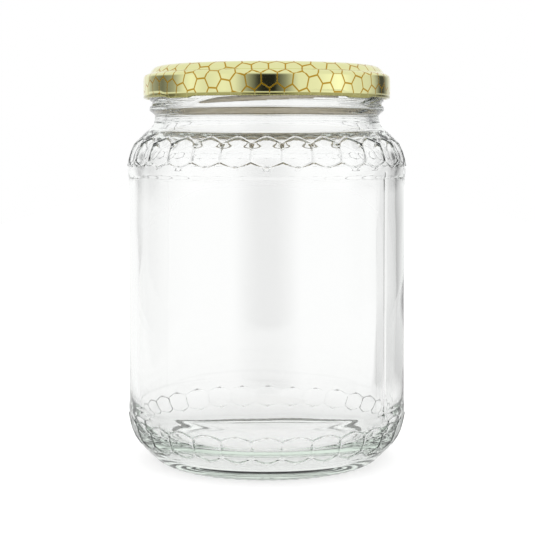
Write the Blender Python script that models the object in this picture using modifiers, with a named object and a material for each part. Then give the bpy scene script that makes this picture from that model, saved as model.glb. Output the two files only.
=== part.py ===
# Clear glass honey jar, empty and closed by its gold twist-off lid.
# Metres, +Z up. The origin is the centre of the bearing ring that the jar stands on,
# and the side towards -Y is the one with a thread start left of its middle.

import math

import bmesh
import bpy
from mathutils import Matrix, Vector

MM = 0.001

# Driving dimensions of the jar, in millimetres
JAR_HEIGHT = 132.3
BAND_RADIUS = 47.4
PANEL_RADIUS = 47.1
PANEL_BOTTOM = 19.5
PANEL_TOP = 96.7
WALL = 2.9
NECK_RADIUS = 38.2
BEAD_RADIUS = 39.9
BEAD_HEIGHT = 119.8
FINISH_RADIUS = 39.0
MOUTH_RADIUS = 35.9
RIM_CROWN_RADIUS = 37.2
NECK_INSIDE = 35.0
SHOULDER_INSIDE = (38.4, 110.6)
BEARING_OUTER = 38.0
BEARING_INNER = 36.0
PUSH_UP = 1.8
FLOOR_HEIGHT = 5.0

# The curves of the heel and the shoulder
HEEL_CURVE = 18.5
HEEL_CENTRE_HEIGHT = 17.6
SHOULDER_CENTRE_RADIUS = 36.5
SHOULDER_CENTRE_HEIGHT = 99.0
SHOULDER_RISE = 14.2

# One row of raised hexagon outlines round the shoulder and one round the heel:
# the heights of a cell's bottom point, of three points up its side, and of its top point
CELLS = 30
RIDGE_HALF_WIDTH = 0.6
RIDGE_HEIGHT = 0.5
SHOULDER_CELL = (100.0, 102.3, 105.1, 107.7, 110.3)
HEEL_CELL = (6.6, 9.1, 11.6, 14.4, 16.5)

# Four thread starts on the finish, and the four lugs of the lid that catch under them
STARTS = 4
THREAD_BEAD = 0.8
THREAD_CENTRE_RADIUS = 39.4
THREAD_FOOT = 120.9
THREAD_RISE = 5.4
THREAD_SPAN = math.radians(108.0)
THREAD_POINTS = 12
FIRST_START = math.radians(-126.0)
FIRST_LUG = math.radians(-44.0)
LUG_WIDTH = 7.0
LUG_THICKNESS = 0.7
LUG_REACH = 40.0

# The lid: a drawn tinplate cap with a raised panel and a rolled lower edge
LID_TOP = 134.0
LID_SHEET = 0.4
PANEL_EDGE_RADIUS = 39.6
PANEL_EDGE_ROUND = (2.0, 1.7)
LEDGE_HEIGHT = 131.2
SKIRT_RADIUS = 42.6
SKIRT_ROUND = 1.3
LID_BOTTOM = 122.9
CURL = 1.1

# The sealing ring of soft compound between the rim and the lid
RING_INNER = 35.9
RING_OUTER = 38.6
RING_BOTTOM = 132.6
RING_TOP = 133.25

TURN_STEPS = 2 * CELLS


def remove_everything():
    for old in list(bpy.data.objects):
        bpy.data.objects.remove(old, do_unlink=True)


def new_collection(name):
    collection = bpy.data.collections.new(name)
    bpy.context.scene.collection.children.link(collection)
    return collection


def material(name, colour, roughness, metallic=0.0, clear=0.0):
    made = bpy.data.materials.new(name)
    made.use_nodes = True
    shader = made.node_tree.nodes["Principled BSDF"]
    shader.inputs["Base Color"].default_value = (*colour, 1.0)
    shader.inputs["Roughness"].default_value = roughness
    shader.inputs["Metallic"].default_value = metallic
    shader.inputs["Transmission Weight"].default_value = clear
    return made


def ellipse_run(centre, radii, start, end, steps):
    """Points on an ellipse in the (radius, height) plane, angles from +radius."""
    points = []
    for step in range(steps + 1):
        angle = math.radians(start + (end - start) * step / steps)
        points.append((centre[0] + radii[0] * math.cos(angle),
                       centre[1] + radii[1] * math.sin(angle)))
    return points


def bend_run(start, corner, end, steps):
    """Points on a quadratic curve from start to end that heads for corner."""
    points = []
    for step in range(steps + 1):
        t = step / steps
        points.append(tuple((1 - t) ** 2 * a + 2 * t * (1 - t) * b + t * t * c
                            for a, b, c in zip(start, corner, end)))
    return points


def turned(name, outline, collection, look):
    """Turn a closed or axis-to-axis outline, given in millimetres, about Z."""
    mesh = bpy.data.meshes.new(name)
    points = [(radius * MM, 0.0, height * MM) for radius, height in outline]
    edges = [(index, index + 1) for index in range(len(points) - 1)]
    if outline[0][0] > 0.0:
        edges.append((len(points) - 1, 0))
    mesh.from_pydata(points, edges, [])
    piece = bpy.data.objects.new(name, mesh)
    collection.objects.link(piece)
    mesh.materials.append(look)
    screw = piece.modifiers.new("turn", "SCREW")
    screw.axis = "Z"
    screw.steps = TURN_STEPS
    screw.render_steps = TURN_STEPS
    screw.use_merge_vertices = True
    screw.merge_threshold = 0.00001
    screw.use_smooth_shade = True
    return piece


def place(angle, radius, height):
    """A point at an angle from the jar's front, which faces -Y, in metres."""
    return Vector((radius * math.sin(angle) * MM, -radius * math.cos(angle) * MM, height * MM))


def bead_mesh(name, runs, collection):
    """Round beads along runs of points, as one welded mesh to fuse to the glass."""
    curve = bpy.data.curves.new(name, "CURVE")
    curve.dimensions = "3D"
    curve.bevel_depth = MM
    curve.bevel_resolution = 1
    curve.use_fill_caps = True
    for points, radii in runs:
        spline = curve.splines.new("POLY")
        spline.points.add(len(points) - 1)
        for target, point, radius in zip(spline.points, points, radii):
            target.co = (*point, 1.0)
            target.radius = radius
    source = bpy.data.objects.new(name + "_path", curve)
    collection.objects.link(source)
    bpy.context.view_layer.update()
    evaluated = source.evaluated_get(bpy.context.evaluated_depsgraph_get())
    mesh = bpy.data.meshes.new_from_object(evaluated)
    bpy.data.objects.remove(source, do_unlink=True)
    shape = bmesh.new()
    shape.from_mesh(mesh)
    bmesh.ops.remove_doubles(shape, verts=shape.verts, dist=0.00001)
    bmesh.ops.recalc_face_normals(shape, faces=shape.faces)
    shape.to_mesh(mesh)
    shape.free()
    piece = bpy.data.objects.new(name, mesh)
    piece.hide_render = True
    piece.display_type = "WIRE"
    collection.objects.link(piece)
    return piece


def fuse(piece, addition):
    joint = piece.modifiers.new("fuse " + addition.name, "BOOLEAN")
    joint.operation = "UNION"
    joint.solver = "EXACT"
    joint.object = addition


def shoulder_radius(height):
    """The glass surface under the shoulder's hexagons, down to its straight part."""
    rise = max(0.0, height - SHOULDER_CENTRE_HEIGHT) / SHOULDER_RISE
    reach = BAND_RADIUS - SHOULDER_CENTRE_RADIUS
    return SHOULDER_CENTRE_RADIUS + reach * math.sqrt(1.0 - rise * rise)


def heel_radius(height):
    """The glass surface under the heel's hexagons, up to its straight part."""
    drop = max(0.0, HEEL_CENTRE_HEIGHT - height) / HEEL_CURVE
    return BAND_RADIUS - HEEL_CURVE * (1.0 - math.sqrt(1.0 - drop * drop))


def jar_outline():
    """Inner floor, up the inside, over the rim, down the outside and under the base."""
    inner = PANEL_RADIUS - WALL
    inside = [(0.0, FLOOR_HEIGHT), (22.0, FLOOR_HEIGHT - 0.2)]
    inside += bend_run((34.0, FLOOR_HEIGHT - 0.3), (inner, FLOOR_HEIGHT), (inner, PANEL_BOTTOM + 1.5), 4)
    inside += bend_run((inner, PANEL_TOP + 0.3), (inner, 108.0), SHOULDER_INSIDE, 4)
    inside += bend_run(SHOULDER_INSIDE, (NECK_INSIDE, 112.2), (NECK_INSIDE, 117.0), 2)[1:]
    rim = [(MOUTH_RADIUS, JAR_HEIGHT - 1.6), (MOUTH_RADIUS + 0.5, JAR_HEIGHT - 0.4),
           (RIM_CROWN_RADIUS, JAR_HEIGHT), (RIM_CROWN_RADIUS + 1.1, JAR_HEIGHT - 0.5),
           (FINISH_RADIUS - 0.2, JAR_HEIGHT - 2.0)]
    bead = [(FINISH_RADIUS, BEAD_HEIGHT + 1.6), (BEAD_RADIUS, BEAD_HEIGHT + 0.6),
            (BEAD_RADIUS, BEAD_HEIGHT - 0.6), (NECK_RADIUS + 0.5, BEAD_HEIGHT - 1.8),
            (NECK_RADIUS, BEAD_HEIGHT - 2.9)]
    fillet = bend_run((NECK_RADIUS, 115.8), (NECK_RADIUS, 113.4), (shoulder_radius(112.2), 112.2), 2)
    shoulder = [(shoulder_radius(height), height) for height in reversed(SHOULDER_CELL)]
    panel = [(BAND_RADIUS, PANEL_TOP + 0.5), (PANEL_RADIUS, PANEL_TOP - 0.3),
             (PANEL_RADIUS, PANEL_BOTTOM + 0.5), (BAND_RADIUS, PANEL_BOTTOM - 0.3)]
    heel = [(heel_radius(height), height) for height in reversed(HEEL_CELL)]
    heel += [(heel_radius(height), height) for height in (4.6, 2.9, 1.4)]
    base = [(BEARING_OUTER, 0.0), (BEARING_INNER, 0.0), (BEARING_INNER - 1.4, 0.8),
            (29.0, PUSH_UP - 0.5), (0.0, PUSH_UP)]
    return inside + rim + bead + fillet + shoulder + panel + heel + base


def outer_ring(shape, height, surface):
    """The turned points at one height of the outer side, by column round the jar."""
    ring = {}
    for point in shape.verts:
        radius = math.hypot(point.co.x, point.co.y)
        if abs(point.co.z - height * MM) < 0.01 * MM and abs(radius - surface(height) * MM) < 0.1 * MM:
            column = round(math.atan2(point.co.x, -point.co.y) * CELLS / math.pi)
            ring[column % (2 * CELLS)] = point
    return ring


def raise_hexagons(shape, cell, surface):
    """Raise a row of hexagon outlines on the turned surface, as ridges with a sharp crown."""
    bottom, low_side, middle, high_side, top = (outer_ring(shape, height, surface) for height in cell)
    ridges = []
    for side in range(1, 2 * CELLS, 2):
        ridges.append(shape.edges.get((low_side[side], middle[side])))
        ridges.append(shape.edges.get((middle[side], high_side[side])))
        for point in (side - 1, (side + 1) % (2 * CELLS)):
            for ends in ((bottom[point], low_side[side]), (top[point], high_side[side])):
                ridges += bmesh.ops.connect_verts(shape, verts=list(ends))["edges"]
    strips = bmesh.ops.bevel(shape, geom=ridges, offset=RIDGE_HALF_WIDTH * MM, offset_type="OFFSET",
                             segments=2, profile=0.5, affect="EDGES")
    faces = set(strips["faces"])
    crowns = [point for point in strips["verts"] if faces.issuperset(point.link_faces)]
    shape.normal_update()
    for point in crowns:
        point.co += point.normal * RIDGE_HEIGHT * MM


def thread_starts(collection):
    """Short ribs that climb to the right round the neck and fade out at both ends."""
    runs = []
    for start in range(STARTS):
        points = []
        radii = []
        for index in range(THREAD_POINTS):
            t = index / (THREAD_POINTS - 1)
            angle = FIRST_START + start * 2.0 * math.pi / STARTS + t * THREAD_SPAN
            eased = t * t * (3.0 - 2.0 * t)
            height = THREAD_FOOT + THREAD_RISE * (t + eased) / 2.0
            points.append(place(angle, THREAD_CENTRE_RADIUS, height))
            radii.append(THREAD_BEAD * min(1.0, 0.35 + 6.0 * min(t, 1.0 - t)))
        runs.append((points, radii))
    return bead_mesh("thread_starts", runs, collection)


def build_jar(parts, cutters, look):
    blank = turned("glass_blank", jar_outline(), parts, look)
    bpy.context.view_layer.update()
    evaluated = blank.evaluated_get(bpy.context.evaluated_depsgraph_get())
    mesh = bpy.data.meshes.new_from_object(evaluated)
    bpy.data.objects.remove(blank, do_unlink=True)
    shape = bmesh.new()
    shape.from_mesh(mesh)
    raise_hexagons(shape, SHOULDER_CELL, shoulder_radius)
    raise_hexagons(shape, HEEL_CELL, heel_radius)
    shape.to_mesh(mesh)
    shape.free()
    mesh.shade_smooth()
    mesh.set_sharp_from_angle(angle=math.radians(30.0))
    jar = bpy.data.objects.new("glass_jar", mesh)
    parts.objects.link(jar)
    fuse(jar, thread_starts(cutters))
    return jar


def lid_outline():
    """Top of the panel, down the outside, round the rolled edge and back up the inside."""
    half = CURL / 2.0
    panel_centre = (PANEL_EDGE_RADIUS - PANEL_EDGE_ROUND[0], LID_TOP - PANEL_EDGE_ROUND[1])
    panel_inside = tuple(round_size - LID_SHEET for round_size in PANEL_EDGE_ROUND)
    skirt_centre = (SKIRT_RADIUS - SKIRT_ROUND, LEDGE_HEIGHT - SKIRT_ROUND)
    skirt_inside = SKIRT_ROUND - LID_SHEET
    inner_edge = PANEL_EDGE_RADIUS - LID_SHEET
    outside = [(0.0, LID_TOP)]
    outside += ellipse_run(panel_centre, PANEL_EDGE_ROUND, 90.0, 0.0, 3)
    outside += [(PANEL_EDGE_RADIUS, LEDGE_HEIGHT + 0.4), (PANEL_EDGE_RADIUS + 0.4, LEDGE_HEIGHT)]
    outside += ellipse_run(skirt_centre, (SKIRT_ROUND, SKIRT_ROUND), 90.0, 0.0, 3)
    outside += [(SKIRT_RADIUS, LID_BOTTOM + CURL + 0.3)]
    curl = ellipse_run((SKIRT_RADIUS - half + 0.1, LID_BOTTOM + half), (half, half), 40.0, -220.0, 6)
    inside = [(SKIRT_RADIUS - LID_SHEET, LID_BOTTOM + CURL + 0.5)]
    inside += ellipse_run(skirt_centre, (skirt_inside, skirt_inside), 0.0, 90.0, 2)
    inside += [(inner_edge + 0.4, LEDGE_HEIGHT - LID_SHEET), (inner_edge, LEDGE_HEIGHT)]
    inside += ellipse_run(panel_centre, panel_inside, 0.0, 90.0, 2)
    inside += [(0.0, LID_TOP - LID_SHEET)]
    return outside + curl + inside


def lid_lugs(collection):
    """Flattened stretches of the rolled edge that reach in under the threads."""
    mesh = bpy.data.meshes.new("lugs")
    shape = bmesh.new()
    root = SKIRT_RADIUS - CURL / 2.0
    size = Vector((LUG_WIDTH, root - LUG_REACH, LUG_THICKNESS)) * MM
    middle = Vector((0.0, -(root + LUG_REACH) / 2.0, LID_BOTTOM + CURL / 2.0)) * MM
    for index in range(STARTS):
        angle = FIRST_LUG + index * 2.0 * math.pi / STARTS
        block = bmesh.ops.create_cube(shape, size=1.0)["verts"]
        bmesh.ops.scale(shape, verts=block, vec=size)
        bmesh.ops.translate(shape, verts=block, vec=middle)
        bmesh.ops.rotate(shape, verts=block, cent=Vector(), matrix=Matrix.Rotation(angle, 3, "Z"))
    shape.to_mesh(mesh)
    shape.free()
    lugs = bpy.data.objects.new("lugs", mesh)
    lugs.hide_render = True
    lugs.display_type = "WIRE"
    collection.objects.link(lugs)
    return lugs


def build_lid(parts, cutters, look):
    lid = turned("twist_off_lid", lid_outline(), parts, look)
    fuse(lid, lid_lugs(cutters))
    return lid


def build_sealing_ring(parts, look):
    outline = [(RING_INNER + 0.3, RING_TOP), (RING_OUTER - 0.7, RING_TOP),
               (RING_OUTER, RING_BOTTOM + 0.15), (RING_OUTER - 0.2, RING_BOTTOM),
               (RING_INNER + 0.3, RING_BOTTOM), (RING_INNER, RING_BOTTOM + 0.3)]
    return turned("sealing_ring", outline, parts, look)


remove_everything()
parts = new_collection("embossed_honey_jar")
cutters = new_collection("threads_and_lugs_to_fuse")

clear_glass = material("clear_glass", (0.93, 0.97, 0.94), 0.02, clear=1.0)
gold_tinplate = material("gold_tinplate", (0.82, 0.74, 0.36), 0.25, metallic=1.0)
cream_compound = material("cream_compound", (0.83, 0.78, 0.66), 0.6)

build_jar(parts, cutters, clear_glass)
build_lid(parts, cutters, gold_tinplate)
build_sealing_ring(parts, cream_compound)
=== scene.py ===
"""A clear glass honey jar, empty, closed by its gold twist-off lid, on a white table."""
import math

import bmesh
import bpy
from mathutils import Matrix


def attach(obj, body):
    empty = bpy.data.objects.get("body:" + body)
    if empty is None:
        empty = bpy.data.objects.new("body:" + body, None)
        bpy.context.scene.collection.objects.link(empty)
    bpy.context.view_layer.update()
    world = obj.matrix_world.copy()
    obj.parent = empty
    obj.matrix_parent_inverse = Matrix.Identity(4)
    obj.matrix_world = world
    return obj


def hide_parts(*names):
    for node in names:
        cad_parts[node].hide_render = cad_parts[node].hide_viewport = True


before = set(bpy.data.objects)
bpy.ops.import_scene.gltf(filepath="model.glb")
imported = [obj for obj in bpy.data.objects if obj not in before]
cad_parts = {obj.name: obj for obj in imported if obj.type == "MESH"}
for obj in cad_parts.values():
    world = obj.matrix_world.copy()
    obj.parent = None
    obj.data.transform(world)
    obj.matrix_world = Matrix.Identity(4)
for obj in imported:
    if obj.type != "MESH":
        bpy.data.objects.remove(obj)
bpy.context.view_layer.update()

MM = 0.001

# The camera looks from half a metre off, a little under the lid's edge, tipped slightly down.
# Its lens is a longish one, and the jar's middle line is just left of the picture's middle.
CAMERA_DISTANCE = 0.4815
CAMERA_HEIGHT = 0.1081
CAMERA_TILT_DOWN = math.radians(3.5)
PICTURE_WIDTH_PIXELS = 535
PICTURE_SHIFT = (0.0013, -0.0722)
LENS_PIXELS = 1406
SENSOR_WIDTH_MM = 36.0
NEAREST_SEEN = 0.01

bpy.ops.object.camera_add(location=(0.0, -CAMERA_DISTANCE, CAMERA_HEIGHT),
                          rotation=(math.radians(90.0) - CAMERA_TILT_DOWN, 0.0, 0.0))
camera = bpy.context.object
camera.name = "camera"
camera.data.sensor_width = SENSOR_WIDTH_MM
camera.data.lens = SENSOR_WIDTH_MM * LENS_PIXELS / PICTURE_WIDTH_PIXELS
camera.data.shift_x = PICTURE_SHIFT[0]
camera.data.shift_y = PICTURE_SHIFT[1]
camera.data.clip_start = NEAREST_SEEN
bpy.context.scene.camera = camera
bpy.context.scene.view_settings.view_transform = "Standard"

# The light is a white studio tent. It is open towards the camera and has two dark flats at the
# sides, behind the jar, which draw the dark streaks in the lid and the dark lines in the glass.
# Each table gives the tent's level by turn, in degrees from the camera's side to the right.
DIFFUSE_LIGHT = 1.40
TENT_TURN = (
    (-180.0, 1.0), (-146.0, 1.0), (-134.0, 0.48), (-112.0, 0.20), (-95.0, 0.42), (-82.0, 0.95),
    (-73.0, 1.15), (-57.0, 0.93), (-40.0, 1.08), (-29.0, 0.98), (-17.0, 0.40), (-8.0, 0.05),
    (-3.0, 0.02), (7.0, 0.02), (17.0, 0.33), (29.0, 0.98), (48.0, 1.05), (69.0, 1.32),
    (87.0, 0.97), (108.0, 0.88), (117.0, 0.70), (129.0, 0.08), (137.0, 0.08), (155.0, 0.85),
    (165.0, 1.0), (180.0, 1.0))
UNDER_THE_FLATS = (
    (-180.0, 1.0), (-146.0, 1.0), (-125.0, 0.85), (-100.0, 0.90), (-82.0, 1.0), (-29.0, 0.98),
    (-17.0, 0.40), (-8.0, 0.05), (-3.0, 0.02), (7.0, 0.02), (17.0, 0.33), (29.0, 0.98),
    (95.0, 1.0), (112.0, 0.75), (127.0, 0.50), (143.0, 0.50), (157.0, 0.85), (168.0, 1.0),
    (180.0, 1.0))
SEEN_THROUGH_GLASS = (
    (-180.0, 1.0), (-162.0, 1.0), (-153.0, 0.30), (-137.0, 0.30), (-126.0, 1.0),
    (126.0, 1.0), (135.0, 0.30), (143.0, 0.30), (148.0, 0.80), (167.0, 0.80), (170.0, 1.0),
    (180.0, 1.0))
FLATS_FOOT = -0.035
FLATS_TOP = math.sin(math.radians(8.0))
ALL_WHITE_FROM = math.sin(math.radians(25.0))
MIX_KINDS = ("FLOAT", "VECTOR", "RGBA")


def feed(tree, socket, value):
    """Link a socket to another node's output, or set it to a plain value."""
    if isinstance(value, bpy.types.NodeSocket):
        tree.links.new(value, socket)
    else:
        socket.default_value = value


def number_step(tree, operation, *values):
    """One step of plain arithmetic in a node tree."""
    step = tree.nodes.new("ShaderNodeMath")
    step.operation = operation
    for socket, value in zip(step.inputs, values):
        feed(tree, socket, value)
    return step.outputs[0]


def vector_step(tree, operation, *values):
    """One step of vector arithmetic in a node tree."""
    step = tree.nodes.new("ShaderNodeVectorMath")
    step.operation = operation
    for socket, value in zip(step.inputs, values):
        feed(tree, socket, value)
    return step.outputs["Value" if operation in ("LENGTH", "DISTANCE") else "Vector"]


def ranged(tree, value, start, end, low=0.0, high=1.0, way="LINEAR"):
    """Carry a value that runs from start to end over to low to high, held at both ends."""
    step = tree.nodes.new("ShaderNodeMapRange")
    step.interpolation_type = way
    for name, level in (("Value", value), ("From Min", start), ("From Max", end),
                        ("To Min", low), ("To Max", high)):
        feed(tree, step.inputs[name], level)
    return step.outputs[0]


def blend(tree, factor, first, second, kind="FLOAT"):
    """Mix two numbers, vectors or colours by a factor."""
    mixer = tree.nodes.new("ShaderNodeMix")
    mixer.data_type = kind
    place = MIX_KINDS.index(kind)
    feed(tree, mixer.inputs[0], factor)
    feed(tree, mixer.inputs[2 + 2 * place], first)
    feed(tree, mixer.inputs[3 + 2 * place], second)
    return mixer.outputs[place]


def tent_ramp(tree, place, stops):
    """The tent's level by a place that runs from 0 to 1 round the horizon."""
    ramp = tree.nodes.new("ShaderNodeValToRGB")
    points = ramp.color_ramp.elements
    points[0].position = 0.0
    points[1].position = 1.0
    for angle, level in stops[1:-1]:
        points.new(angle / 360.0 + 0.5)
    for point, (angle, level) in zip(points, stops):
        point.color = (level, level, level, 1.0)
    feed(tree, ramp.inputs[0], place)
    return ramp.outputs[0]


world = bpy.data.worlds.new("studio tent")
bpy.context.scene.world = world
world.use_nodes = True
world.cycles.sampling_method = "NONE"
tent = world.node_tree
direction = tent.nodes.new("ShaderNodeTexCoord")
axes = tent.nodes.new("ShaderNodeSeparateXYZ")
feed(tent, axes.inputs[0], direction.outputs["Generated"])
towards_camera = number_step(tent, "MULTIPLY", axes.outputs["Y"], -1.0)
tent_angle = number_step(tent, "ARCTAN2", axes.outputs["X"], towards_camera)
round_way = ranged(tent, tent_angle, -math.pi, math.pi)
reflected = tent_ramp(tent, round_way, TENT_TURN)
reflected_low = tent_ramp(tent, round_way, UNDER_THE_FLATS)
through = tent_ramp(tent, round_way, SEEN_THROUGH_GLASS)
above_foot = ranged(tent, axes.outputs["Z"], FLATS_FOOT, 0.0)
overhead = ranged(tent, axes.outputs["Z"], FLATS_TOP, ALL_WHITE_FROM, way="SMOOTHSTEP")
reflected_light = blend(tent, above_foot, reflected_low, reflected)
reflected_light = blend(tent, overhead, reflected_light, 1.0)
through_light = blend(tent, overhead, through, 1.0)
light_path = tent.nodes.new("ShaderNodeLightPath")
tent_level = blend(tent, light_path.outputs["Is Transmission Ray"], DIFFUSE_LIGHT, through_light)
for bounces, light in (("Glossy Depth", reflected_light), ("Diffuse Depth", DIFFUSE_LIGHT)):
    has_met = number_step(tent, "GREATER_THAN", light_path.outputs[bounces], 0.5)
    tent_level = blend(tent, has_met, tent_level, light)
tent_level = blend(tent, light_path.outputs["Is Camera Ray"], tent_level, 1.0)
background = tent.nodes["Background"]
background.inputs["Color"].default_value = (1.0, 1.0, 1.0, 1.0)
feed(tent, background.inputs["Strength"], tent_level)
bpy.context.scene.cycles.max_bounces = 24
bpy.context.scene.cycles.transmission_bounces = 24
bpy.context.scene.cycles.glossy_bounces = 12

# The table is a long matt sheet, as white as the tent, so its edges don't show. It ends short of
# the camera, so that the glass mirrors the tent's opening. It glows where the jar gathers light
# on it, and a faint shade at the back right greys the jar's right edge.
TABLE_SIDE = 0.35
TABLE_FRONT = -0.22
TABLE_BACK = 8.0
TABLE_HEIGHT = -0.02
SHEET_WHITE = 0.47
SEEN_GLOW = 0.58
UNSEEN_GLOW = 0.34
GATHERED_LIGHT = 0.28
GATHERED_TO = 44.0
GATHERED_FROM = 34.0
SHADE_START = 33.0
SHADE_EDGE = 6.0
SHADE_SPREAD = 0.2
SHADE_BEHIND = (60.0, 130.0)
SHADE_NEAR = (150.0, 0.0)
SHADE_FAR = (500.0, 0.20)


def new_material(name, colour, roughness):
    """A new material of one colour and roughness, and its main shader node."""
    material = bpy.data.materials.new(name)
    material.use_nodes = True
    finish = material.node_tree.nodes["Principled BSDF"]
    finish.inputs["Base Color"].default_value = (*colour, 1.0)
    finish.inputs["Roughness"].default_value = roughness
    return material, finish


bpy.ops.mesh.primitive_plane_add(
    size=1.0, location=(0.0, (TABLE_FRONT + TABLE_BACK) / 2.0, TABLE_HEIGHT * MM))
table = bpy.context.object
table.name = "table"
table.scale = (2.0 * TABLE_SIDE, TABLE_BACK - TABLE_FRONT, 1.0)
bpy.ops.object.transform_apply(location=True, scale=True)
white_sheet, sheet_finish = new_material("white sheet", (SHEET_WHITE,) * 3, 0.9)
sheet_finish.inputs["Specular IOR Level"].default_value = 0.0
sheet_finish.inputs["Emission Color"].default_value = (1.0, 1.0, 1.0, 1.0)
sheet = white_sheet.node_tree
sheet_point = sheet.nodes.new("ShaderNodeTexCoord").outputs["Object"]
sheet_axes = sheet.nodes.new("ShaderNodeSeparateXYZ")
feed(sheet, sheet_axes.inputs[0], sheet_point)
from_jar = vector_step(sheet, "LENGTH", sheet_point)
glow = ranged(sheet, from_jar, GATHERED_TO * MM, GATHERED_FROM * MM,
              UNSEEN_GLOW, UNSEEN_GLOW + GATHERED_LIGHT)
past_side = number_step(sheet, "MULTIPLY_ADD", sheet_axes.outputs["Y"], -SHADE_SPREAD,
                        sheet_axes.outputs["X"])
beside = ranged(sheet, past_side, SHADE_START * MM, (SHADE_START + SHADE_EDGE) * MM)
behind = ranged(sheet, sheet_axes.outputs["Y"], SHADE_BEHIND[0] * MM, SHADE_BEHIND[1] * MM)
in_shade = number_step(sheet, "MULTIPLY", beside, behind)
shade = ranged(sheet, sheet_axes.outputs["Y"], SHADE_NEAR[0] * MM, SHADE_FAR[0] * MM,
               SHADE_NEAR[1], SHADE_FAR[1])
glow = blend(sheet, in_shade, glow, shade)
sheet_path = sheet.nodes.new("ShaderNodeLightPath")
glow = blend(sheet, sheet_path.outputs["Is Camera Ray"], glow, SEEN_GLOW)
feed(sheet, sheet_finish.inputs["Emission Strength"], glow)
table.data.materials.append(white_sheet)

# The jar is pressed and blown soda-lime glass: a round body with a raised honeycomb row at the
# shoulder and one at the heel, a plain panel between them for a label, and a screwed neck.
# Both halves of its mould leave a thin line, and its foot has small knurls to stand on.
COLUMNS = 60
BAND_RADIUS = 47.4
WALL_INSIDE = 44.2
FLOOR_FLAT = 24.0
FLOOR_TOP = 4.8
FLOOR_RISE = 13.0
SHOULDER_CELL = (100.0, 102.3, 105.1, 107.7, 110.3)
HEEL_CELL = (6.6, 9.1, 11.6, 14.4, 16.5)
CELL_TOP_PINCH = 0.980
CELL_HIGH_PINCH = 0.993
NOTCH_SPREAD = 1.002
SHOULDER_RIDGE = (0.42, 0.32)
HEEL_RIDGE = (0.42, 0.34)
RIDGE_CREASE = 0.9
RIDGE_FADE = 0.6
RIDGE_FOOT = (0.16, 0.85)
SEAM_COLUMNS = (9, 39)
SEAM_HALF_WIDTH = 0.4
SEAM_HEIGHT = 0.11
SEAM_FADE = 1.1
KNURL_DEPTH = 0.3
KNURL_PINCH = 0.985
WAVE_HEIGHT = 0.3
WAVE_SIZE = 26.0
WAVES_FROM = 14.0
WAVES_TO = 104.0
WAVES_RUN_IN = 12.0


def bend_run(start, corner, end, steps):
    """Points on a curve from start to end that heads for corner."""
    points = []
    for step in range(steps + 1):
        t = step / steps
        points.append(tuple((1 - t) ** 2 * a + 2 * t * (1 - t) * b + t * t * c
                            for a, b, c in zip(start, corner, end)))
    return points


def shoulder_radius(height):
    """The glass surface under the shoulder's hexagons."""
    rise = max(0.0, height - 99.0) / 14.2
    return 36.5 + (BAND_RADIUS - 36.5) * math.sqrt(1.0 - rise * rise)


def heel_radius(height):
    """The glass surface under the heel's hexagons."""
    drop = max(0.0, 17.6 - height) / 18.5
    return BAND_RADIUS - 18.5 * (1.0 - math.sqrt(1.0 - drop * drop))


def turned(name, outline, columns):
    """Draw an outline point by point from a plane's middle, then spin it round the axis."""
    bpy.ops.object.select_all(action="DESELECT")
    bpy.ops.mesh.primitive_plane_add(size=MM, location=(0.0, 0.0, 0.0))
    piece = bpy.context.object
    piece.name = name
    piece.data.name = name
    bpy.ops.object.mode_set(mode="EDIT")
    bpy.ops.mesh.select_mode(type="VERT")
    bpy.ops.mesh.select_all(action="SELECT")
    bpy.ops.mesh.merge(type="CENTER")
    radius, height = outline[0]
    bpy.ops.transform.translate(value=(radius * MM, 0.0, height * MM))
    for next_radius, next_height in outline[1:]:
        step = ((next_radius - radius) * MM, 0.0, (next_height - height) * MM)
        bpy.ops.mesh.extrude_vertices_move(TRANSFORM_OT_translate={"value": step})
        radius, height = next_radius, next_height
    if outline[0][0] > 0.0:
        bpy.ops.mesh.select_all(action="SELECT")
        ends = [point for point in bmesh.from_edit_mesh(piece.data).verts
                if len(point.link_edges) == 1]
        pick(lambda point: point in ends)
        bpy.ops.mesh.edge_face_add()
    bpy.ops.mesh.select_all(action="SELECT")
    bpy.ops.mesh.spin(steps=columns, angle=2.0 * math.pi, center=(0.0, 0.0, 0.0),
                      axis=(0.0, 0.0, 1.0), use_auto_merge=True)
    bpy.ops.mesh.select_all(action="SELECT")
    bpy.ops.mesh.remove_doubles(threshold=0.005 * MM)
    bpy.ops.mesh.normals_make_consistent(inside=False)
    bpy.ops.mesh.select_all(action="DESELECT")
    return piece


def pick(rule, mode="VERT"):
    """Select what a rule picks, points or edges, in the mesh that is being edited."""
    bpy.ops.mesh.select_mode(type=mode)
    bpy.ops.mesh.select_all(action="DESELECT")
    mesh = bpy.context.edit_object.data
    shape = bmesh.from_edit_mesh(mesh)
    for item in (shape.verts if mode == "VERT" else shape.edges):
        if rule(item):
            item.select_set(True)
    shape.select_flush_mode()
    bmesh.update_edit_mesh(mesh)


def resize_round(factor):
    """Draw the selected points in towards the jar's axis, or out from it."""
    bpy.ops.transform.resize(value=(factor, factor, 1.0), center_override=(0.0, 0.0, 0.0))


def column_of(point, columns=COLUMNS):
    """The column round the jar that a point lies on: 0 at the front, counted to the right."""
    turn = math.atan2(point.co.x, -point.co.y) * columns / (2.0 * math.pi)
    return round(turn) % columns


def radius_of(point):
    """How far a point lies from the jar's axis, in millimetres."""
    return math.hypot(point.co.x, point.co.y) / MM


def lies_on(point, surface, height, slack):
    """Whether a point lies at a height on a glass surface, to within some slack."""
    return (abs(point.co.z / MM - height) < 0.05
            and abs(radius_of(point) - surface(height)) < slack)


def cell_corner(point):
    """Whether a point is a corner, or the middle of a side, of the raised hexagons."""
    for bottom, low, middle, high, top in (SHOULDER_CELL, HEEL_CELL):
        heights = (bottom, top) if column_of(point) % 2 == 0 else (low, middle, high)
        surface = shoulder_radius if bottom > 50.0 else heel_radius
        if any(lies_on(point, surface, height, 1.5) for height in heights):
            return True
    return False


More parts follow.
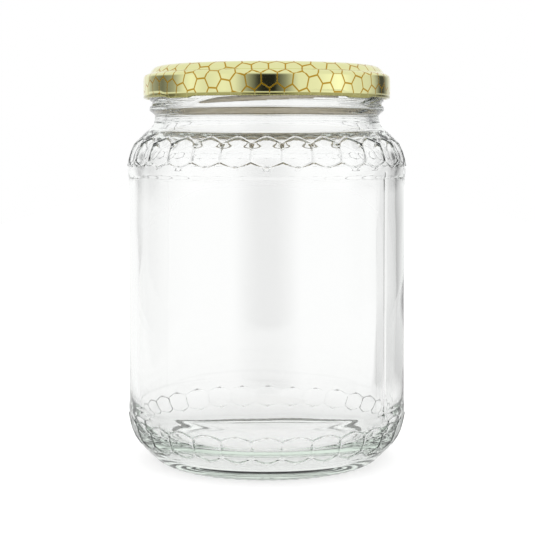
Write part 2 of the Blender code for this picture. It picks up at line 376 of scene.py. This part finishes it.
def on_seam(point):
    """Whether a point lies on a mould line of the plain panel."""
    return (column_of(point) in SEAM_COLUMNS and radius_of(point) > 46.8
            and 18.0 < point.co.z / MM < 99.0)


def beside_ridge(edge):
    """Whether an edge lies among the raised hexagons on the outside of the glass."""
    point = edge.verts[0]
    height = point.co.z / MM
    return radius_of(point) > 40.3 and (99.5 < height < 112.0 or 5.9 < height < 17.2)


def raise_ridge(half_width, height, fade):
    """Turn the selected edges into narrow, crisp ridges that fade towards the far side."""
    bpy.ops.mesh.bevel(offset_type="OFFSET", offset=half_width * MM, segments=2, profile=0.5,
                       affect="EDGES")
    shape = bmesh.from_edit_mesh(bpy.context.edit_object.data)
    strips = {face.index for face in shape.faces if face.select}
    crowns = {point.index for point in shape.verts
              if all(face.index in strips for face in point.link_faces)}
    for share in (0.0, 0.25, 0.5, 0.75, 1.0):
        pick(lambda point: point.index in crowns
             and abs(0.5 + 0.5 * point.co.y / MM / radius_of(point) - share) <= 0.125)
        bpy.ops.transform.shrink_fatten(value=height * max(0.05, 1.0 - fade * share) * MM)
    pick(lambda edge: all(point.index in crowns for point in edge.verts)
         or sum(face.index in strips for face in edge.link_faces) == 1, mode="EDGE")
    bpy.ops.transform.edge_crease(value=RIDGE_CREASE)
    pick(lambda point: any(face.index in strips for face in point.link_faces))
    bpy.ops.transform.vert_crease(value=RIDGE_CREASE)


def smooth_once():
    """Subdivide the whole piece once, for good."""
    bpy.ops.object.mode_set(mode="OBJECT")
    bpy.ops.object.modifier_add(type="SUBSURF")
    rounding = bpy.context.object.modifiers[-1]
    rounding.levels = 1
    rounding.render_levels = 1
    bpy.ops.object.modifier_apply(modifier=rounding.name)
    bpy.ops.object.mode_set(mode="EDIT")


inside = [(0.0, 5.0), (14.0, 4.87), (FLOOR_FLAT, FLOOR_TOP)]
for tip in (12.0, 25.0, 40.0, 56.0, 73.0, 90.0):
    inside.append((FLOOR_FLAT + (WALL_INSIDE - FLOOR_FLAT) * math.sin(math.radians(tip)),
                   FLOOR_TOP + FLOOR_RISE * (1.0 - math.cos(math.radians(tip)))))
inside += [(WALL_INSIDE, height) for height in (30.0, 50.0, 70.0, 88.0, 96.0)]
inside += [(44.1, 101.5), (43.4, 104.6), (41.6, 106.6), (40.2, 108.0), (38.6, 109.1),
           (37.3, 109.75), (36.3, 110.9), (35.5, 112.8), (35.05, 115.0), (35.0, 118.0),
           (35.0, 122.5), (35.5, 127.5), (35.9, 130.6)]
rim = [(36.3, 131.9), (37.2, 132.35), (38.2, 131.95), (38.75, 130.7), (38.9, 128.5),
       (39.0, 125.0), (39.0, 122.0)]
bead = [(39.1, 121.0), (39.8, 120.5), (40.0, 119.9), (40.0, 119.25), (39.93, 118.95),
        (39.75, 118.75), (38.7, 117.9), (38.28, 117.5), (38.2, 117.1), (38.2, 116.2),
        (38.36, 115.95), (38.4, 115.5)]
fillet = bend_run((38.55, 114.6), (39.0, 113.0), (shoulder_radius(111.4), 111.4), 2)
shoulder = [(shoulder_radius(height), height) for height in reversed(SHOULDER_CELL)]
panel = [(47.4, 98.4), (47.4, 97.3), (47.1, 96.6), (47.05, 95.6), (47.05, 72.0),
         (47.15, 44.0), (47.2, 21.0), (47.25, 20.0), (47.45, 19.3), (47.45, 18.3)]
heel = [(heel_radius(height), height) for height in reversed(HEEL_CELL)]
heel += [(heel_radius(5.9), 5.9), (heel_radius(5.3) + 0.12, 5.3), (heel_radius(4.7), 4.7),
         (40.86, 3.3), (39.65, 2.1)]
foot = [(38.7, 1.2), (38.05, 0.6), (37.5, 0.1), (36.8, -0.1), (36.0, -0.1), (35.2, 0.4),
        (33.5, 1.0), (28.0, 1.5), (0.0, 1.8)]
jar = turned("jar_glass", inside + rim + bead + fillet + shoulder + panel + heel + foot, COLUMNS)

for ring, parity, factor in ((SHOULDER_CELL[-1], 0, CELL_TOP_PINCH),
                             (SHOULDER_CELL[-2], 0, CELL_HIGH_PINCH),
                             (SHOULDER_CELL[-1], 1, NOTCH_SPREAD)):
    pick(lambda point: lies_on(point, shoulder_radius, ring, 0.2)
         and column_of(point) % 2 == parity)
    resize_round(factor)
pick(cell_corner)
bpy.ops.mesh.vert_connect()
pick(lambda edge: all(cell_corner(point) and point.co.z > 50.0 * MM for point in edge.verts),
     mode="EDGE")
raise_ridge(*SHOULDER_RIDGE, RIDGE_FADE)
pick(lambda edge: all(cell_corner(point) and point.co.z < 50.0 * MM for point in edge.verts),
     mode="EDGE")
raise_ridge(*HEEL_RIDGE, RIDGE_FADE)
pick(lambda edge: all(on_seam(point) for point in edge.verts)
     and abs(edge.verts[0].co.z - edge.verts[1].co.z) > 0.2 * MM, mode="EDGE")
raise_ridge(SEAM_HALF_WIDTH, SEAM_HEIGHT, SEAM_FADE)
smooth_once()
pick(lambda point: point.co.z < 0.9 * MM and radius_of(point) > 36.3
     and column_of(point, 2 * COLUMNS) % 2 == 0)
resize_round(KNURL_PINCH)
bpy.ops.transform.translate(value=(0.0, 0.0, KNURL_DEPTH * MM))
smooth_once()
bpy.ops.object.mode_set(mode="OBJECT")

wavy = jar.vertex_groups.new(name="inner wall")
for point in jar.data.vertices:
    height = point.co.z / MM
    if radius_of(point) < 45.4 and WAVES_FROM < height < WAVES_TO:
        strength = min(1.0, (height - WAVES_FROM) / WAVES_RUN_IN,
                       (WAVES_TO - height) / WAVES_RUN_IN)
        wavy.add([point.index], strength, "REPLACE")
waves = bpy.data.textures.new("blown glass waves", "CLOUDS")
waves.noise_scale = WAVE_SIZE * MM
waves.noise_depth = 1
bpy.ops.object.modifier_add(type="DISPLACE")
unevenness = jar.modifiers[-1]
unevenness.texture = waves
unevenness.texture_coords = "LOCAL"
unevenness.vertex_group = wavy.name
unevenness.strength = WAVE_HEIGHT * MM
unevenness.mid_level = 0.5
bpy.ops.object.modifier_apply(modifier=unevenness.name)
jar.vertex_groups.clear()

# The neck carries four thread starts, short glass ribs that climb to the right.
# They are moulded with the neck, so they are fused to the jar and are no pieces of their own.
THREAD_STARTS = 4
THREAD_STEPS = 35
FIRST_START = math.radians(-130.0)
THREAD_SPAN = math.radians(108.0)
THREAD_LOW = 119.95
THREAD_RISE = 4.3
THREAD_REACH = 40.1
THREAD_BEAD = 2.2
THREAD_SEAT = 0.86
THREAD_SINK = 0.85
THREAD_TIP = 0.16
THREAD_RUN_IN = 0.19
THREAD_RUN_OUT = 0.2

bpy.ops.object.select_all(action="DESELECT")
bpy.ops.curve.primitive_bezier_circle_add(radius=MM, location=(0.0, 0.0, 0.0))
threads = bpy.context.object
threads.name = "thread_starts"
threads.data.splines.clear()
threads.data.dimensions = "3D"
threads.data.bevel_depth = MM
threads.data.bevel_resolution = 3
threads.data.use_fill_caps = True
for start in range(THREAD_STARTS):
    route = threads.data.splines.new("POLY")
    route.points.add(THREAD_STEPS)
    for index, place in enumerate(route.points):
        t = index / THREAD_STEPS
        turn = FIRST_START + start * 2.0 * math.pi / THREAD_STARTS + t * THREAD_SPAN
        growth = min(1.0, THREAD_TIP + t / THREAD_RUN_IN,
                     THREAD_TIP + (1.0 - t) / THREAD_RUN_OUT)
        thickness = THREAD_BEAD * growth
        radius = THREAD_REACH - THREAD_SINK * (1.0 - growth) - thickness
        height = THREAD_LOW + THREAD_RISE * t + THREAD_SEAT * thickness
        place.co = (radius * math.sin(turn) * MM, -radius * math.cos(turn) * MM,
                    height * MM, 1.0)
        place.radius = thickness
bpy.ops.object.convert(target="MESH")
bpy.ops.object.mode_set(mode="EDIT")
bpy.ops.mesh.select_all(action="SELECT")
bpy.ops.mesh.remove_doubles(threshold=0.005 * MM)
bpy.ops.mesh.normals_make_consistent(inside=False)
bpy.ops.object.mode_set(mode="OBJECT")
bpy.ops.object.select_all(action="DESELECT")
jar.select_set(True)
bpy.context.view_layer.objects.active = jar
bpy.ops.object.modifier_add(type="BOOLEAN")
fusing = jar.modifiers[-1]
fusing.operation = "UNION"
fusing.solver = "MANIFOLD"
fusing.object = threads
bpy.ops.object.modifier_apply(modifier=fusing.name)
bpy.data.objects.remove(threads, do_unlink=True)
bpy.ops.object.mode_set(mode="EDIT")
pick(lambda edge: beside_ridge(edge) and RIDGE_FOOT[0] < edge.calc_face_angle(0.0) < RIDGE_FOOT[1],
     mode="EDGE")
bpy.ops.mesh.mark_sharp()
bpy.ops.object.mode_set(mode="OBJECT")
bpy.ops.object.shade_smooth()

clear_glass, glass = new_material("clear soda-lime glass", (1.0, 1.0, 1.0), 0.0)
glass.inputs["IOR"].default_value = 1.52
glass.inputs["Transmission Weight"].default_value = 1.0
green_tint = clear_glass.node_tree.nodes.new("ShaderNodeVolumeAbsorption")
green_tint.inputs["Color"].default_value = (0.30, 0.60, 0.34, 1.0)
green_tint.inputs["Density"].default_value = 4.0
clear_glass.node_tree.links.new(green_tint.outputs[0],
                                clear_glass.node_tree.nodes["Material Output"].inputs["Volume"])
jar.data.materials.clear()
jar.data.materials.append(clear_glass)
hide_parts("glass_jar")
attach(jar, "root")

# The lid is pressed from thin tinplate, lacquered gold outside and cream inside, with an amber
# honeycomb printed on the flat sheet before it was drawn, so the cells lengthen down the skirt.
# Its edge is rolled in, and four places of the roll are pressed into lugs for the threads.
LID_COLUMNS = 72
LUG_TURN = 46.0
LUG_HALF = 8.0
LUG_PINCH = 0.975
LUG_DROP = 0.6
ARCH_TURN = 28.0
ARCH_HALF = 9.0
ARCH_LIFT = 0.6
PRINT_SPACING = 5.45
PRINT_LINE = 0.50
PRINT_SOFTNESS = 0.04
PRINT_TURN = math.radians(3.06)
PRINT_OFFSET = (1.262, -2.927)
PRINT_EDGE = 49.72
EDGE_SOFTNESS = 0.1
SKIRT_TOP = 129.9
SKIRT_MIDDLE = 127.0
SKIRT_MIDDLE_PRINT = 46.95
SKIRT_STRETCH = 0.91
DRAWN_FROM = 37.6
UV_SPAN = 120.0
GOLD = (0.76, 0.76, 0.39)
AMBER_LINE = (0.40, 0.235, 0.01, 1.0)
# The roll past the print is unprinted, and its darker olive gold colour is painted shade under the
# curl.
UNPRINTED_ROLL_SHADE = (0.36, 0.34, 0.13, 1.0)
INK_METAL = 0.6

top = [(0.0, 133.6), (12.0, 133.6), (24.0, 133.6), (31.5, 133.6), (33.0, 133.72),
       (34.4, 133.95), (36.0, 134.0), (37.4, 133.85), (38.5, 133.3), (39.2, 132.5)]
ledge = [(39.6, 131.8), (39.9, 131.42), (40.4, 131.25), (41.1, 131.05), (41.6, 130.65),
         (41.9, 130.1)]
skirt = [(42.0, 129.4), (42.0, 126.4), (42.0, 124.6), (42.0, 124.25), (41.96, 124.08),
         (41.8, 123.98)]
roll = [(41.93, 123.86), (42.0, 123.6), (41.98, 123.25), (41.8, 122.98), (41.5, 122.9),
        (41.15, 123.02), (41.0, 123.45), (41.1, 123.85), (41.45, 124.05)]
back_up = [(41.7, 124.3), (41.76, 124.9), (41.76, 126.4), (41.76, 128.8), (41.7, 129.7),
           (41.4, 130.35), (40.9, 130.78), (40.2, 130.98), (39.75, 131.2), (39.35, 131.75),
           (38.95, 132.35), (38.3, 133.05), (37.3, 133.55), (36.0, 133.7), (34.4, 133.66),
           (33.0, 133.42), (31.5, 133.3), (24.0, 133.3), (12.0, 133.3), (0.0, 133.3)]
lid = turned("lid", top + ledge + skirt + roll + back_up, LID_COLUMNS)
smooth_once()


def near_turn(point, centre, half):
    """Whether a point lies on a stretch of the lid that comes again every quarter turn."""
    turn = math.degrees(math.atan2(point.co.x, -point.co.y))
    return abs((turn - centre + 45.0) % 90.0 - 45.0) < half


pick(lambda point: 40.6 < radius_of(point) < 41.75 and point.co.z < 124.2 * MM
     and near_turn(point, LUG_TURN, LUG_HALF))
resize_round(LUG_PINCH)
pick(lambda point: point.co.z < 123.8 * MM and near_turn(point, LUG_TURN, LUG_HALF))
bpy.ops.transform.translate(value=(0.0, 0.0, -LUG_DROP * MM))
pick(lambda point: radius_of(point) > 41.65 and 123.3 * MM < point.co.z < 124.6 * MM
     and near_turn(point, ARCH_TURN, ARCH_HALF))
bpy.ops.transform.translate(value=(0.0, 0.0, ARCH_LIFT * MM))
smooth_once()
bpy.ops.object.mode_set(mode="OBJECT")
bpy.ops.object.shade_smooth()


def printed_radius(radius, height):
    """How far from the middle of the flat printed sheet a place on the drawn lid came."""
    if height < SKIRT_TOP:
        return SKIRT_MIDDLE_PRINT + SKIRT_STRETCH * (SKIRT_MIDDLE - height)
    return radius + 0.5 * (134.0 - height) * min(1.0, max(0.0, radius - DRAWN_FROM))


sheet_map = lid.data.uv_layers.new(name="printed sheet")
for loop in lid.data.loops:
    point = lid.data.vertices[loop.vertex_index]
    turn = math.atan2(point.co.x, -point.co.y)
    reach = printed_radius(radius_of(point), point.co.z / MM) / UV_SPAN
    sheet_map.data[loop.index].uv = (0.5 + reach * math.sin(turn), 0.5 - reach * math.cos(turn))

gold_tinplate, gold = new_material("gold printed tinplate", GOLD, 0.08)
tin = gold_tinplate.node_tree
sheet_place = tin.nodes.new("ShaderNodeUVMap")
sheet_place.uv_map = sheet_map.name
lay = tin.nodes.new("ShaderNodeMapping")
lay.vector_type = "TEXTURE"
lay.inputs["Location"].default_value = (0.5 + PRINT_OFFSET[0] / UV_SPAN,
                                        0.5 + PRINT_OFFSET[1] / UV_SPAN, 0.0)
lay.inputs["Rotation"].default_value = (0.0, 0.0, PRINT_TURN)
lay.inputs["Scale"].default_value = (1.0 / UV_SPAN, 1.0 / UV_SPAN, 1.0)
feed(tin, lay.inputs["Vector"], sheet_place.outputs[0])
corner = (PRINT_SPACING / 2.0, PRINT_SPACING * math.sqrt(3.0) / 2.0, 1.0)
opposite = tuple(-side for side in corner)
moved = vector_step(tin, "SUBTRACT", lay.outputs[0], (corner[0], corner[1], 0.0))
even_rows = vector_step(tin, "WRAP", lay.outputs[0], corner, opposite)
odd_rows = vector_step(tin, "WRAP", moved, corner, opposite)
nearer = number_step(tin, "LESS_THAN", vector_step(tin, "LENGTH", odd_rows),
                     vector_step(tin, "LENGTH", even_rows))
own_cell = blend(tin, nearer, even_rows, odd_rows, "VECTOR")
parts = tin.nodes.new("ShaderNodeSeparateXYZ")
feed(tin, parts.inputs[0], vector_step(tin, "ABSOLUTE", own_cell))
slanted = number_step(tin, "ADD", number_step(tin, "MULTIPLY", parts.outputs["X"], 0.5),
                      number_step(tin, "MULTIPLY", parts.outputs["Y"], math.sqrt(3.0) / 2.0))
to_side = number_step(tin, "MAXIMUM", parts.outputs["X"], slanted)
line_start = (PRINT_SPACING - PRINT_LINE) / 2.0
line = ranged(tin, to_side, line_start - PRINT_SOFTNESS, line_start + PRINT_SOFTNESS)
colour = blend(tin, line, (*GOLD, 1.0), AMBER_LINE, "RGBA")
to_middle = vector_step(tin, "DISTANCE", sheet_place.outputs[0], (0.5, 0.5, 0.0))
past_print = ranged(tin, to_middle, (PRINT_EDGE - EDGE_SOFTNESS) / UV_SPAN,
                    (PRINT_EDGE + EDGE_SOFTNESS) / UV_SPAN)
# Past the print, the roll takes the darker olive gold: painted shade under the curl.
colour = blend(tin, past_print, colour, UNPRINTED_ROLL_SHADE, "RGBA")
feed(tin, gold.inputs["Base Color"], colour)
feed(tin, gold.inputs["Metallic"], ranged(tin, line, 0.0, 1.0, 1.0, INK_METAL))

cream_lacquer, lacquer = new_material("cream lacquer", (0.66, 0.57, 0.40), 0.35)
lid.data.materials.clear()
lid.data.materials.append(gold_tinplate)
lid.data.materials.append(cream_lacquer)
for face in lid.data.polygons:
    centre = face.center
    out = centre.x * face.normal.x + centre.y * face.normal.y
    under_panel = face.normal.z < -0.3 and centre.z > 130.0 * MM
    behind_skirt = out < 0.0 and 124.0 * MM < centre.z < 133.9 * MM and face.normal.z < 0.3
    face.material_index = 1 if under_panel or behind_skirt else 0
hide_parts("twist_off_lid")
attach(lid, "root")

# The sealing compound is a soft cream ring, poured into the channel inside the lid's edge.
# The rim of the glass stands in it and has pressed a shallow groove.
compound_outline = [(36.0, 133.2), (35.7, 132.8), (36.0, 132.5), (36.7, 132.42), (37.7, 132.42),
                    (38.4, 132.5), (38.7, 132.8), (38.5, 133.1), (38.0, 133.3), (37.0, 133.32)]
compound = turned("sealing_compound", compound_outline, COLUMNS)
smooth_once()
bpy.ops.object.mode_set(mode="OBJECT")
bpy.ops.object.shade_smooth()
cream_compound, soft = new_material("cream sealing compound", (0.72, 0.64, 0.48), 0.55)
compound.data.materials.clear()
compound.data.materials.append(cream_compound)
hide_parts("sealing_ring")
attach(compound, "root")

bpy.context.view_layer.update()
